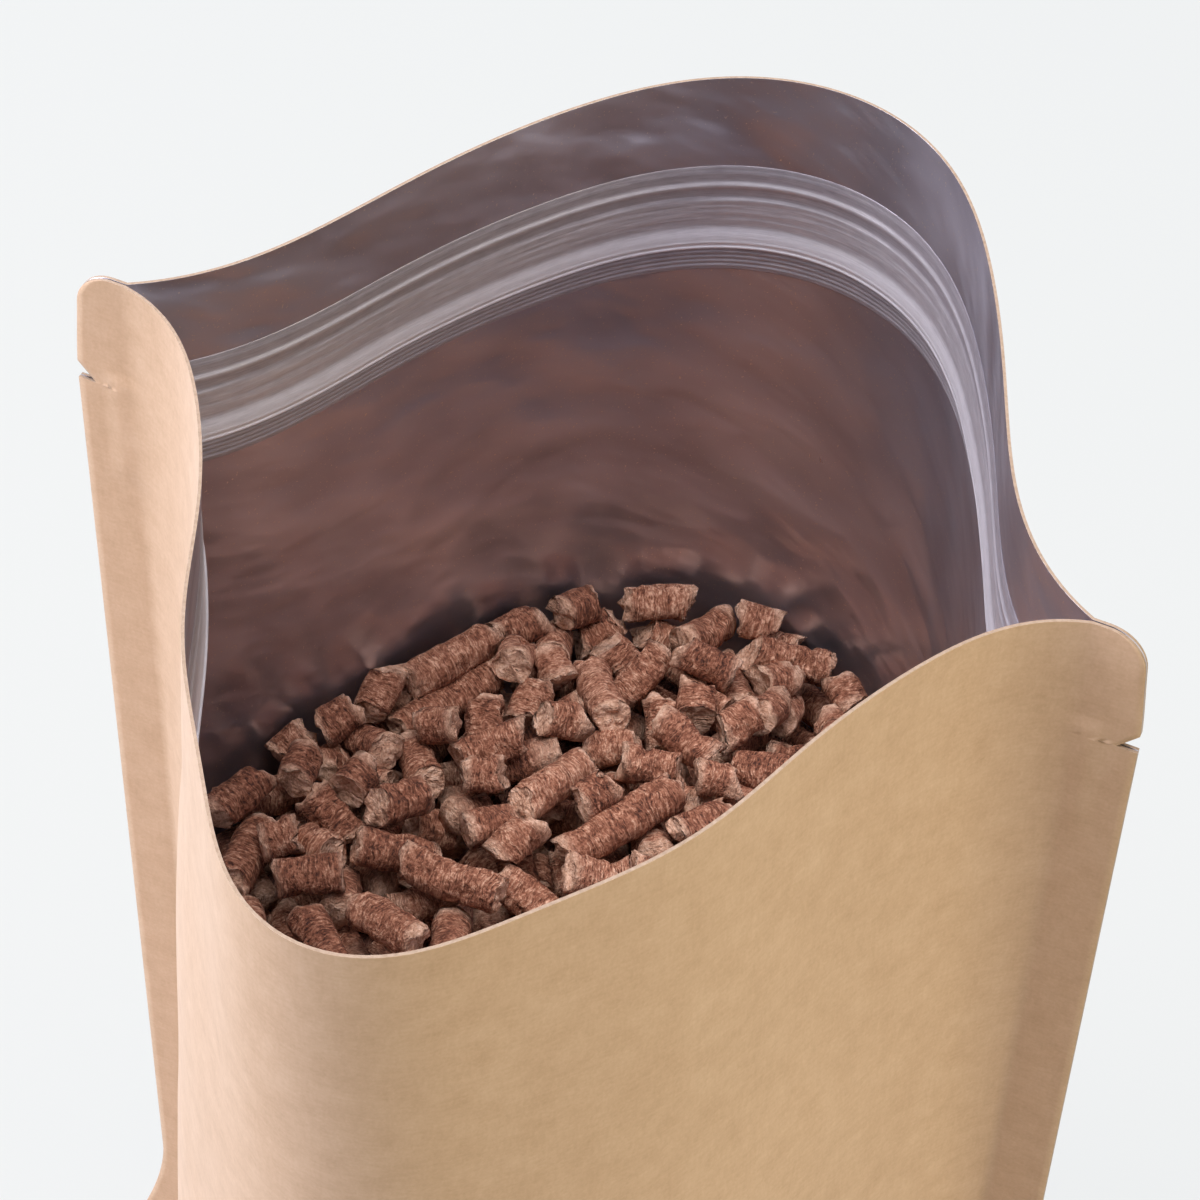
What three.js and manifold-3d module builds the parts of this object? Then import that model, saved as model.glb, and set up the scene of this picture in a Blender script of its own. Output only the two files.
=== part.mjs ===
// An open stand-up pouch of kraft film, part filled with pressed wood pellets.
//
// Frame: millimetres, +Z up, origin at the middle of the foot, on the surface that the pouch stands on.
// X runs from side seal to side seal, the front panel lies at -Y and the back panel at +Y.
//
// The pouch is four strips of film: two panels welded face to face along their side seals, a bottom
// gusset folded up between them, and a press-to-close strip inside each panel below the mouth.
// Film bends but doesn't stretch, so every level of a panel has the same length between the seals,
// and the distance between the seals decides how far the panel bows out.

import * as THREE from 'three';
import { mergeVertices } from 'three/addons/utils/BufferGeometryUtils.js';
import Module from 'manifold-3d';

// Film and seals
const panelHeight = 258;      // foot to rim
const panelArc = 216;         // along the film of one panel, between its side seals
const sealWidth = 8.4;        // each side seal, outside the panel arc
const filmThickness = 0.4;
const seatGap = 0.3;          // between faces that touch on the real pouch
const cornerRadius = 5;       // of the top corners of the side seals

// Distance between the inner edges of the side seals
const mouthChord = 128;
const bodyChord = 134;        // where the gusset fold ends in the side seals
const footChord = 184;
const footFlare = 1.6;        // above 1, the foot spreads mostly near the floor
const mouthShift = -7;        // the mouth leans to the left of the foot

// Shape of the panels' bows at the rim, as bowAngle uses it. side is -1 for the front panel and 1 for
// the back one. The ripples fade out down to the gusset fold, where both panels have the body's pinch.
const bodyPinch = 0.12;
const rimBows = {
  '-1': {
    pinch: 0.824,
    ripples: [{ halfWaves: 6, size: 0.126 }, { halfWaves: 8, size: -0.046 }, { halfWaves: 10, size: 0.064 }],
    skew: -0.032,             // makes one side of the bow fuller
    lean: 0.034,              // moves the bow towards the right side seal, for each mm that it bows
  },
  1: { pinch: 0.612, ripples: [{ halfWaves: 6, size: 0.062 }], skew: 0.036, lean: 0.05 },
};

// Tear notches in both side seals
const notchDrop = 18.5;       // rim to the point of the notch
const notchHeight = 1.4;
const notchDepth = 2.2;

// Bottom gusset
const gussetFold = 60;        // height of the fold where it meets the side seals
const weldGap = 0.7;          // between gusset and panel, whose facets don't quite match
const skirtSeal = 6;          // height of the weld to the panels in the middle of the foot
const gussetFlatWidth = 0.45; // share of the half width that lies flat on the floor
const gussetFlatDepth = 0.5;  // share of the half depth that lies flat on the floor
const gussetDeckEnd = 0.88;   // share of the half depth where the gusset turns down along the panels

// Press-to-close strips, as drops below the rim
const stripTop = 15.2;
const guideDrop = 18.2;
const profileDrop = 28.9;
const ribDrop = 31.3;
const stripBottom = 34;
const stripThickness = 0.25;
const guideHeight = 0.45;
const ribPitch = 1.3;
const ribCount = 2;
const ribHeight = 0.3;
const ridgeWidth = 0.6;       // foot of the guide and of each rib
const lipSpan = 2.2;          // over both lips of the channel
const lipWidth = 0.6;
const lipHeight = 1.1;
const tongueWidth = 0.8;
const tongueHeight = 1.2;
const weldRun = 4;            // along the film, from a side seal to the open end of what it holds

// Litter
const fillShare = 0.578;      // of the height
const litterLevel = fillShare * panelHeight; // top of the packed bed at the middle of the pouch
const litterSlope = 0.07;     // fall of the bed towards the right side seal
const litterCrown = 5;        // rise of the middle of the bed above its edge
const pelletRadius = 3;
const pelletChamfer = 1;
const shortestPellet = 8;
const longestPellet = 22;
const shortPelletBias = 1.7;  // above 1, short pellets outnumber long ones
const steepestPellet = 0.5;   // tilt of a loose pellet, in radians
const steepestBreak = 0.25;   // slant of a pellet's end
const rodShortening = 0.7;    // share of the radius, see randomPellet
const loosePelletCount = 54;
const bedPelletCount = 54;
const bedPelletSink = 1.2;    // how deep a pellet of the bed sits in it
const litterWallGap = 1.7;    // the litter keeps off the panels, whose facets cut inside their bow

// Fineness of the facets
const bowStations = 24;
const sectionSteps = 90;
const cornerSegments = 6;
const wallSteps = 40;
const pelletSides = 7;
const bedLevels = [0, 0.2, 0.45, 0.7, 1]; // as shares of the bed's height

// Searches
const sharpestTurn = 2.2;     // of a bow, in radians
const fitRounds = 40;
const placeTries = 400;       // random places for one pellet before it is given up
const placesPerPellet = 24;   // places compared for each loose pellet
const triesPerPellet = 30;    // places tried for each pellet of the bed
const dropHeight = 60;        // above the bed, where a loose pellet starts its way down
const dropRounds = 60;
const touching = 0.01;
const seatReach = 3;          // up and down, for a loose pellet's final height, found from the real shapes
const seatRounds = 10;
const mergeDistance = 1e-4;
const cutterOverrun = 2;      // of a cutter past the face that it cuts
const firstSeed = 20111;
const seedStep = 7919;
const randomFactor = 16807;
const randomModulus = 2147483647;

const panelLevels = [
  0,
  ...spread(0, gussetFold, 6),
  ...spread(gussetFold, panelHeight - stripBottom, 5),
  ...spread(panelHeight - stripBottom, panelHeight, 2),
];

const kraftFilm = new THREE.MeshStandardMaterial({ color: 0xd2a878, roughness: 0.8, metalness: 0 });
const gussetFilm = new THREE.MeshStandardMaterial({ color: 0xc79c6c, roughness: 0.8, metalness: 0 });
const clearStrip = new THREE.MeshStandardMaterial({ color: 0x9a8f94, roughness: 0.3, metalness: 0 });
const pressedWood = new THREE.MeshStandardMaterial({ color: 0x8a5f4c, roughness: 0.95, metalness: 0 });

const wasm = await Module();
wasm.setup();

// Evenly spread values after the first up to the last
function spread(first, last, count) {
  return Array.from({ length: count }, (_, i) => first + ((last - first) * (i + 1)) / count);
}

function mix(a, b, t) {
  return a + (b - a) * t;
}

// How far a level is up the pouch: 0 at the gusset fold and below it, and 1 at the rim
function riseAt(z) {
  return Math.max(0, (z - gussetFold) / (panelHeight - gussetFold));
}

// Distance between the seals at a level: narrow above the gusset fold, flaring to the foot below it
function chordAt(z) {
  if (z < gussetFold) {
    return mix(bodyChord, footChord, (1 - z / gussetFold) ** footFlare);
  }
  return mix(bodyChord, mouthChord, riseAt(z));
}

// Where a side seal's inner edge lies in X. turn is -1 at the left seal and 1 at the right one.
function sealEdge(turn, z) {
  return mouthShift * riseAt(z) + (turn * chordAt(z)) / 2;
}

// Direction of the film along a bow, as an angle to the line between the seals. A plain bow turns
// like a cosine, and the pinched share like a full sine wave, so the film starts along the seals.
// Quicker ripples make the nose in the middle and the folds beside the seals. The skew bends both
// sides alike, and the tilt turns the whole bow so that it ends at the other seal.
function bowAngle(s, bow) {
  const plain = (1 - bow.pinch) * Math.cos(Math.PI * s);
  const pinched = bow.pinch * Math.sin(2 * Math.PI * s);
  const skewed = bow.skew * Math.cos(2 * Math.PI * s);
  const rippled = bow.ripples.reduce(
    (sum, { halfWaves, size }) => sum + size * Math.sin(halfWaves * Math.PI * s),
    0,
  );
  return bow.turn * (plain + pinched + bow.strength * (skewed + rippled)) - bow.tilt;
}

// Points along a bow of the panel's length, by adding up its short steps
function walkBow(bow) {
  const step = panelArc / sectionSteps;
  const points = [{ x: 0, y: 0 }];
  for (let i = 0; i < sectionSteps; i += 1) {
    const angle = bowAngle((i + 0.5) / sectionSteps, bow);
    const last = points[i];
    points.push({ x: last.x + step * Math.cos(angle), y: last.y + step * Math.sin(angle) });
  }
  return points;
}

// A panel's bow at a level. The more it turns, the closer its ends come, until they lie a chord apart.
function fitBow(side, z) {
  const rim = rimBows[side];
  const strength = riseAt(z);
  const shape = { ...rim, pinch: mix(bodyPinch, rim.pinch, strength), strength, tilt: 0 };
  let low = 0;
  let high = sharpestTurn;
  for (let i = 0; i < fitRounds; i += 1) {
    const turn = (low + high) / 2;
    const end = walkBow({ ...shape, turn })[sectionSteps];
    if (Math.hypot(end.x, end.y) > chordAt(z)) {
      low = turn;
    } else {
      high = turn;
    }
  }
  const end = walkBow({ ...shape, turn: low })[sectionSteps];
  const bow = { ...shape, turn: low, tilt: Math.atan2(end.y, end.x) };
  return { bow, lean: strength * rim.lean, points: walkBow(bow) };
}

// Both panels' bows at each level. Between two levels the film runs straight.
const sections = panelLevels.map((z) => ({ '-1': fitBow(-1, z), 1: fitBow(1, z) }));

// A point of a level on the inner face of a panel, moved into the pouch by inset. side is -1 for the
// front panel and 1 for the back one, and s runs from 0 at the left seal to 1 at the right one.
function levelPoint(side, s, level, inset) {
  const z = panelLevels[level];
  const { points, bow, lean } = sections[level][side];
  const place = s * sectionSteps;
  const first = Math.min(Math.floor(place), sectionSteps - 1);
  const x = mix(points[first].x, points[first + 1].x, place - first);
  const y = mix(points[first].y, points[first + 1].y, place - first);
  const angle = bowAngle(s, bow);
  const along = Math.cos(angle) + lean * Math.sin(angle);
  const size = Math.hypot(along, Math.sin(angle));
  return new THREE.Vector3(
    sealEdge(-1, z) + x + lean * y + (inset * Math.sin(angle)) / size,
    side * (y + seatGap / 2) - (side * inset * along) / size,
    z,
  );
}

// The same at any height, between the levels below and above it
function wallPoint(side, s, z, inset) {
  const above = panelLevels.findIndex((level) => level >= z);
  const upper = above < 0 ? panelLevels.length - 1 : Math.max(1, above);
  const share = (z - panelLevels[upper - 1]) / (panelLevels[upper] - panelLevels[upper - 1]);
  return levelPoint(side, s, upper - 1, inset).lerp(levelPoint(side, s, upper, inset), share);
}

// A point between the panels: v is -1 at the front wall and 1 at the back one
function insidePoint(s, v, z, inset) {
  const front = wallPoint(-1, s, z, inset);
  const back = wallPoint(1, s, z, inset);
  return front.lerp(back, (v + 1) / 2);
}

// A closed solid from a grid of points on one face and a grid of the same size on the other
function slabGeometry(faceA, faceB) {
  const rows = faceA.length;
  const columns = faceA[0].length;
  const positions = [...faceA, ...faceB].flat().flatMap((p) => [p.x, p.y, p.z]);
  const a = (i, j) => i * columns + j;
  const b = (i, j) => (rows + i) * columns + j;
  const index = [];
  const quad = (p, q, r, t) => index.push(p, q, r, p, r, t);
  for (let i = 0; i < rows - 1; i += 1) {
    for (let j = 0; j < columns - 1; j += 1) {
      quad(a(i, j), a(i, j + 1), a(i + 1, j + 1), a(i + 1, j));
      quad(b(i, j), b(i + 1, j), b(i + 1, j + 1), b(i, j + 1));
    }
  }
  for (let j = 0; j < columns - 1; j += 1) {
    quad(b(0, j), b(0, j + 1), a(0, j + 1), a(0, j));
    quad(a(rows - 1, j), a(rows - 1, j + 1), b(rows - 1, j + 1), b(rows - 1, j));
  }
  for (let i = 0; i < rows - 1; i += 1) {
    quad(a(i, 0), a(i + 1, 0), b(i + 1, 0), b(i, 0));
    quad(b(i, columns - 1), b(i + 1, columns - 1), a(i + 1, columns - 1), a(i, columns - 1));
  }
  return facingOut(positions, index);
}

// A geometry whose faces point out, turned round if its volume comes out negative
function facingOut(positions, index) {
  const corner = (k) => new THREE.Vector3().fromArray(positions, 3 * k);
  let volume = 0;
  for (let i = 0; i < index.length; i += 3) {
    volume += corner(index[i]).dot(corner(index[i + 1]).cross(corner(index[i + 2])));
  }
  const geometry = new THREE.BufferGeometry();
  geometry.setAttribute('position', new THREE.Float32BufferAttribute(positions, 3));
  geometry.setIndex(volume < 0 ? index.slice().reverse() : index);
  return geometry;
}

function toSolid(geometry) {
  const bare = geometry.clone();
  bare.deleteAttribute('normal');
  bare.deleteAttribute('uv');
  const merged = mergeVertices(bare, mergeDistance);
  const mesh = new wasm.Mesh({
    numProp: 3,
    vertProperties: Float32Array.from(merged.attributes.position.array),
    triVerts: Uint32Array.from(merged.index.array),
  });
  return new wasm.Manifold(mesh);
}

function toGeometry(solid) {
  const mesh = solid.getMesh();
  const geometry = new THREE.BufferGeometry();
  geometry.setAttribute('position', new THREE.BufferAttribute(mesh.vertProperties, 3));
  geometry.setIndex(new THREE.BufferAttribute(mesh.triVerts, 1));
  return geometry;
}

function named(name, geometry, material) {
  const mesh = new THREE.Mesh(geometry, material);
  mesh.name = name;
  return mesh;
}

// Stations along a bow between the side seals. All pieces of film share them, so their facets match.
const freeEnd = weldRun / panelArc;
const stationPitch = 1 / bowStations;
const stations = [
  freeEnd,
  ...spread(0, 1, bowStations).filter((s) => Math.min(s, 1 - s) > freeEnd + stationPitch / 4),
  1 - freeEnd,
];

// One level of a panel, from seal to seal, at a distance outside its inner face
function panelLevel(side, z, outset) {
  const sealY = side * (seatGap / 2 + outset);
  return [
    new THREE.Vector3(sealEdge(-1, z) - sealWidth, sealY, z),
    new THREE.Vector3(sealEdge(-1, z), sealY, z),
    ...stations.map((s) => wallPoint(side, s, z, -outset)),
    new THREE.Vector3(sealEdge(1, z), sealY, z),
    new THREE.Vector3(sealEdge(1, z) + sealWidth, sealY, z),
  ];
}

// A prism along Y through both panels' seals, from an outline in X and Z
function sealCutter(outline) {
  const depth = seatGap + 2 * (filmThickness + cutterOverrun);
  const options = { depth, bevelEnabled: false, curveSegments: cornerSegments };
  const prism = new THREE.ExtrudeGeometry(outline, options);
  prism.translate(0, 0, -depth / 2);
  prism.rotateX(Math.PI / 2);
  return toSolid(prism);
}

// The rounding of a top corner
function cornerOutline(turn) {
  const edge = sealEdge(turn, panelHeight) + turn * sealWidth;
  const beyond = turn * cutterOverrun;
  const outline = new THREE.Shape();
  outline.moveTo(edge + beyond, panelHeight - cornerRadius);
  outline.lineTo(edge, panelHeight - cornerRadius);
  outline.quadraticCurveTo(edge, panelHeight, edge - turn * cornerRadius, panelHeight);
  outline.lineTo(edge - turn * cornerRadius, panelHeight + cornerRadius);
  outline.lineTo(edge + beyond, panelHeight + cornerRadius);
  return outline;
}

// A tear notch: a slanting upper edge and a level lower one
function notchOutline(turn) {
  const level = panelHeight - notchDrop;
  const edge = sealEdge(turn, level) + turn * sealWidth;
  const outline = new THREE.Shape();
  outline.moveTo(edge + turn * cutterOverrun, level);
  outline.lineTo(edge - turn * notchDepth, level);
  outline.lineTo(edge, level + notchHeight);
  outline.lineTo(edge + turn * cutterOverrun, level + notchHeight);
  return outline;
}

const sealCutters = [-1, 1].flatMap((turn) => [cornerOutline(turn), notchOutline(turn)]).map(sealCutter);

function panelGeometry(side) {
  const inner = panelLevels.map((z) => panelLevel(side, z, 0));
  const outer = panelLevels.map((z) => panelLevel(side, z, filmThickness));
  const sheet = toSolid(slabGeometry(inner, outer));
  return toGeometry(sealCutters.reduce((solid, cutter) => solid.subtract(cutter), sheet));
}

// How far the gusset has climbed towards the side seals: 0 in the flat middle and 1 at the seals
function gussetClimb(s) {
  const out = Math.abs(2 * s - 1);
  return Math.max(0, (out - gussetFlatWidth) / (1 - gussetFlatWidth)) ** 2;
}

// Top of the weld between gusset and panel
function weldTop(s) {
  return mix(skirtSeal, gussetFold, gussetClimb(s));
}

// Height of the gusset's lower face between the panels. It lies on the floor in the middle, rises
// to the weld at both panels, and follows its fold up to the side seals.
function gussetHeight(s, v) {
  const foldLine = gussetFold * gussetClimb(s) ** 1.5;
  const climb = Math.max(0, (Math.abs(v) - gussetFlatDepth) / (1 - gussetFlatDepth)) ** 2;
  return mix(foldLine, weldTop(s), climb);
}

// Places between the panels, out to a share of the half depth on both sides
function acrossTo(end) {
  const middle = mix(gussetFlatDepth, end, 0.6);
  return [-end, -middle, -gussetFlatDepth, 0, gussetFlatDepth, middle, end];
}

function gussetGeometry() {
  const across = acrossTo(gussetDeckEnd);
  const legSteps = [0, 1 / 3, 2 / 3, 1];
  const litterSide = [];
  const floorSide = [];
  stations.forEach((s) => {
    const leg = (v, inset, lift) => legSteps.map((share) => (
      insidePoint(s, v, share * weldTop(s) + (share === 1 ? lift : 0), inset)
    ));
    const deck = (lift) => across.map((v) => insidePoint(s, v, gussetHeight(s, v) + lift, weldGap));
    const path = (inset, lift) => [
      ...leg(-1, inset, lift),
      ...deck(lift),
      ...leg(1, inset, lift).reverse(),
    ];
    litterSide.push(path(weldGap, filmThickness));
    floorSide.push(path(weldGap + filmThickness, 0));
  });
  return slabGeometry(litterSide, floorSide);
}

// A low triangular ridge on a strip, as [drop below the rim, height] points
function ridge(drop, height) {
  return [
    [drop - ridgeWidth / 2, stripThickness],
    [drop, stripThickness + height],
    [drop + ridgeWidth / 2, stripThickness],
  ];
}

// A square bar on a strip
function bar(drop, width, height) {
  return [
    [drop - width / 2, stripThickness],
    [drop - width / 2, stripThickness + height],
    [drop + width / 2, stripThickness + height],
    [drop + width / 2, stripThickness],
  ];
}

const ribs = Array.from({ length: ribCount }, (_, i) => ridge(ribDrop + i * ribPitch, ribHeight)).flat();
const lipOffset = (lipSpan - lipWidth) / 2;
const channel = [
  ...bar(profileDrop - lipOffset, lipWidth, lipHeight),
  ...bar(profileDrop + lipOffset, lipWidth, lipHeight),
];
const tongue = bar(profileDrop, tongueWidth, tongueHeight);

// A press-to-close strip: its section, lying on the panel's inner face, carried along the bow
function stripGeometry(side, closure) {
  const face = [
    [stripTop, stripThickness],
    ...ridge(guideDrop, guideHeight),
    ...closure,
    ...ribs,
    [stripBottom, stripThickness],
  ];
  const along = (height) => stations.map((s) => face.map(([drop, top]) => (
    wallPoint(side, s, panelHeight - drop, seatGap + height(top))
  )));
  return slabGeometry(along((top) => top), along(() => 0));
}

// Top of the packed bed: crowned in the middle and falling to the right
function bedHeight(x, y) {
  const out = Math.hypot(x, y) / (bodyChord / 2);
  return litterLevel - litterSlope * x + litterCrown * (1 - out * out);
}

// The packed bed of litter: it rests on the gusset, follows both panels up and ends in the bed's top
function bedGeometry() {
  const across = acrossTo(1);
  const bottom = (s, v) => gussetHeight(s, v) + filmThickness + seatGap;
  const top = (s, v) => {
    const middle = insidePoint(s, v, litterLevel, litterWallGap);
    return bedHeight(middle.x, middle.y);
  };
  const grid = (share) => stations.slice(1, -1).map((s) => across.map((v) => (
    insidePoint(s, v, mix(bottom(s, v), top(s, v), share), litterWallGap)
  )));
  return stackGeometry(bedLevels.map(grid));
}

// A closed solid from a stack of grids of one size: the first and last are its ends, and the edges
// of all of them make its walls
function stackGeometry(grids) {
  const rows = grids[0].length;
  const columns = grids[0][0].length;
  const positions = grids.flat(2).flatMap((p) => [p.x, p.y, p.z]);
  const at = (k, i, j) => (k * rows + i) * columns + j;
  const index = [];
  const quad = (p, q, r, t) => index.push(p, q, r, p, r, t);
  const last = grids.length - 1;
  for (let i = 0; i < rows - 1; i += 1) {
    for (let j = 0; j < columns - 1; j += 1) {
      quad(at(0, i, j), at(0, i, j + 1), at(0, i + 1, j + 1), at(0, i + 1, j));
      quad(at(last, i, j), at(last, i + 1, j), at(last, i + 1, j + 1), at(last, i, j + 1));
    }
  }
  const edge = [
    ...Array.from({ length: columns - 1 }, (_, j) => [0, j]),
    ...Array.from({ length: rows - 1 }, (_, i) => [i, columns - 1]),
    ...Array.from({ length: columns - 1 }, (_, j) => [rows - 1, columns - 1 - j]),
    ...Array.from({ length: rows - 1 }, (_, i) => [rows - 1 - i, 0]),
  ];
  for (let k = 0; k < last; k += 1) {
    edge.forEach(([i, j], n) => {
      const [p, q] = edge[(n + 1) % edge.length];
      quad(at(k, i, j), at(k + 1, i, j), at(k + 1, p, q), at(k, p, q));
    });
  }
  return facingOut(positions, index);
}

// Repeatable numbers from 0 to 1. Each pellet, and each place that it tries, starts a row of its own,
// so a pellet keeps its length and its places when a size of the pouch changes.
let seed = firstSeed;
function startRow(number) {
  seed = firstSeed + number * seedStep;
}

function random() {
  seed = (seed * randomFactor) % randomModulus;
  return seed / randomModulus;
}

function randomLength() {
  return mix(shortestPellet, longestPellet, random() ** shortPelletBias);
}

// A pellet is a cut cylinder. While it is placed, it counts as a rod with round ends: core is the
// half length of the rod's middle line, which ends a little less than a radius short of the pellet's end.
function randomPellet(length, steepest) {
  const turn = Math.PI * random();
  const tilt = mix(-steepest, steepest, random());
  const axis = new THREE.Vector3(
    Math.cos(turn) * Math.cos(tilt),
    Math.sin(turn) * Math.cos(tilt),
    Math.sin(tilt),
  );
  return { length, axis, core: length / 2 - rodShortening * pelletRadius, centre: new THREE.Vector3() };
}

function rodEnd(pellet, end) {
  return pellet.centre.clone().addScaledVector(pellet.axis, end * pellet.core);
}

// Shortest distance between the middle lines of two pellets
function rodDistance(a, b) {
  const between = a.centre.clone().sub(b.centre);
  const slant = a.axis.dot(b.axis);
  const alongA = a.axis.dot(between);
  const alongB = b.axis.dot(between);
  const spare = Math.max(1e-9, 1 - slant * slant);
  let s = THREE.MathUtils.clamp((slant * alongB - alongA) / spare, -a.core, a.core);
  const t = THREE.MathUtils.clamp(slant * s + alongB, -b.core, b.core);
  s = THREE.MathUtils.clamp(slant * t - alongA, -a.core, a.core);
  return between.addScaledVector(a.axis, s).addScaledVector(b.axis, -t).length();
}

// The wall of the pouch in plan where the litter ends, as one closed line
const litterWall = [-1, 1].flatMap((side) => {
  const line = [0, ...spread(0, 1, wallSteps)].map((s) => wallPoint(side, s, litterLevel, 0));
  return side < 0 ? line : line.reverse();
});

// Distance in plan from a point to the wall, negative outside it
function wallDistance(point) {
  let nearest = Infinity;
  let inside = false;
  litterWall.forEach((a, i) => {
    const b = litterWall[(i + 1) % litterWall.length];
    const along = { x: b.x - a.x, y: b.y - a.y };
    const size = along.x ** 2 + along.y ** 2 || 1;
    const share = ((point.x - a.x) * along.x + (point.y - a.y) * along.y) / size;
    const t = THREE.MathUtils.clamp(share, 0, 1);
    nearest = Math.min(nearest, Math.hypot(a.x + t * along.x - point.x, a.y + t * along.y - point.y));
    const crosses = a.y > point.y !== b.y > point.y;
    if (crosses && point.x < a.x + ((point.y - a.y) / (b.y - a.y)) * along.x) {
      inside = !inside;
    }
  });
  return inside ? nearest : -nearest;
}

const wallBox = new THREE.Box3().setFromPoints(litterWall);

// Moves a pellet to a random place in plan where both its ends keep clear of the walls
function placeInPlan(pellet) {
  const margin = pelletRadius + litterWallGap;
  for (let i = 0; i < placeTries; i += 1) {
    const x = mix(wallBox.min.x, wallBox.max.x, random());
    const y = mix(wallBox.min.y, wallBox.max.y, random());
    pellet.centre.set(x, y, 0);
    if ([-1, 1].every((end) => wallDistance(rodEnd(pellet, end)) > margin)) {
      return true;
    }
  }
  return false;
}

// Lets a pellet down until it would come closer than seatGap to the bed or to another pellet
function letDown(pellet, others) {
  const { x, y } = pellet.centre;
  const near = others.filter((other) => (
    Math.hypot(other.centre.x - x, other.centre.y - y) < longestPellet + 2 * pelletRadius
  ));
  pellet.centre.z = bedHeight(x, y) + dropHeight;
  for (let i = 0; i < dropRounds; i += 1) {
    const bedRoom = [-1, 0, 1].map((end) => {
      const p = rodEnd(pellet, end);
      return p.z - bedHeight(p.x, p.y) - pelletRadius - seatGap;
    });
    const rodRoom = near.map((other) => rodDistance(pellet, other) - 2 * pelletRadius - seatGap);
    const room = Math.min(...bedRoom, ...rodRoom);
    if (room < touching) {
      break;
    }
    pellet.centre.z -= room;
  }
}

// Pellets of the bed, sunk into its top wherever a random place is free
function bedPellets() {
  const pellets = [];
  for (let n = 0; n < triesPerPellet * bedPelletCount && pellets.length < bedPelletCount; n += 1) {
    startRow(n);
    const pellet = randomPellet(randomLength(), 0);
    const placed = placeInPlan(pellet);
    const { x, y } = pellet.centre;
    pellet.centre.z = bedHeight(x, y) + pelletRadius - bedPelletSink;
    if (placed && pellets.every((other) => rodDistance(pellet, other) > 2 * pelletRadius + seatGap)) {
      pellet.shape = plainPellet(pellet.length);
      pellets.push(pellet);
    }
  }
  return pellets;
}

// A pellet's shape where it lies, or lower by a drop
function placedSolid(pellet, drop) {
  const holder = layAlong(new THREE.Object3D(), pellet);
  holder.position.z -= drop;
  holder.updateMatrix();
  return toSolid(pellet.shape.clone().applyMatrix4(holder.matrix));
}

// Moves a pellet up or down until its real shape lies seatGap above the heap
function seat(pellet, heap) {
  let free = -seatReach;
  let blocked = seatReach;
  for (let i = 0; i < seatRounds; i += 1) {
    const drop = (free + blocked) / 2;
    if (heap.intersect(placedSolid(pellet, drop)).isEmpty()) {
      free = drop;
    } else {
      blocked = drop;
    }
  }
  pellet.centre.z -= free - seatGap;
}

// Loose pellets on top. Each takes the one of some random places where it comes closest to the bed.
function loosePellets(bed, bedSolid) {
  const pellets = [];
  let heap = bedSolid;
  for (let n = 0; n < loosePelletCount; n += 1) {
    startRow(n);
    const length = randomLength();
    let best = null;
    for (let i = 0; i < placesPerPellet; i += 1) {
      startRow(placesPerPellet * (n + 1) + i);
      const pellet = randomPellet(length, steepestPellet);
      if (placeInPlan(pellet)) {
        letDown(pellet, [...bed, ...pellets]);
        pellet.lift = pellet.centre.z - bedHeight(pellet.centre.x, pellet.centre.y);
        best = !best || pellet.lift < best.lift ? pellet : best;
      }
    }
    best.shape = pelletGeometry(length);
    seat(best, heap);
    heap = heap.add(placedSolid(best, 0));
    pellets.push(best);
  }
  return pellets;
}

// A pressed pellet along Z: a cylinder with worn edges, whose ends broke off a little aslant
function pelletGeometry(length) {
  const half = length / 2;
  const rim = pelletRadius - pelletChamfer;
  const profile = [
    [0, -half],
    [rim, -half],
    [pelletRadius, -half + pelletChamfer],
    [pelletRadius, half - pelletChamfer],
    [rim, half],
    [0, half],
  ].map(([r, z]) => new THREE.Vector2(r, z));
  const geometry = new THREE.LatheGeometry(profile, pelletSides);
  geometry.rotateX(Math.PI / 2);
  const slants = [steepestBreak * random(), steepestBreak * random()];
  const position = geometry.attributes.position;
  for (let i = 0; i < position.count; i += 1) {
    const end = Math.sign(position.getZ(i));
    const cut = slants[end > 0 ? 1 : 0] * (pelletRadius + position.getX(i));
    position.setZ(i, position.getZ(i) - end * cut);
  }
  return geometry;
}

function plainPellet(length) {
  const geometry = new THREE.CylinderGeometry(pelletRadius, pelletRadius, length, pelletSides - 1);
  return geometry.rotateX(Math.PI / 2);
}

function layAlong(object, pellet) {
  object.quaternion.setFromUnitVectors(new THREE.Vector3(0, 0, 1), pellet.axis);
  object.position.copy(pellet.centre);
  return object;
}

const sunkPellets = bedPellets();
const bedSolid = sunkPellets.reduce(
  (solid, pellet) => solid.add(placedSolid(pellet, 0)),
  toSolid(bedGeometry()),
);
const topPellets = loosePellets(sunkPellets, bedSolid);

const pouch = new THREE.Group();
pouch.add(named('front_panel', panelGeometry(-1), kraftFilm));
pouch.add(named('back_panel', panelGeometry(1), kraftFilm));
pouch.add(named('bottom_gusset', gussetGeometry(), gussetFilm));
pouch.add(named('zip_strip_front', stripGeometry(-1, tongue), clearStrip));
pouch.add(named('zip_strip_back', stripGeometry(1, channel), clearStrip));

const litter = new THREE.Group();
litter.add(named('litter_bed', toGeometry(bedSolid), pressedWood));
topPellets.forEach((pellet, i) => {
  const name = `litter_pellet_${String(i + 1).padStart(2, '0')}`;
  litter.add(layAlong(named(name, pellet.shape, pressedWood), pellet));
});
pouch.add(litter);

export default pouch;
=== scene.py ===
# %% [markdown]
# # An open kraft pouch of wood pellets
#
# A stand-up pouch is made from film that is brown paper outside and dark metallised plastic inside.
# Two panels are welded along their sides, a gusset folds up between them as the foot, and two
# press-to-close strips lie inside the mouth. Pressed wood pellets fill the lower part.
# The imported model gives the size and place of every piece. This script gives them their looks.

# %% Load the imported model
import math

import bpy
import numpy as np
from mathutils import Matrix, Vector


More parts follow.
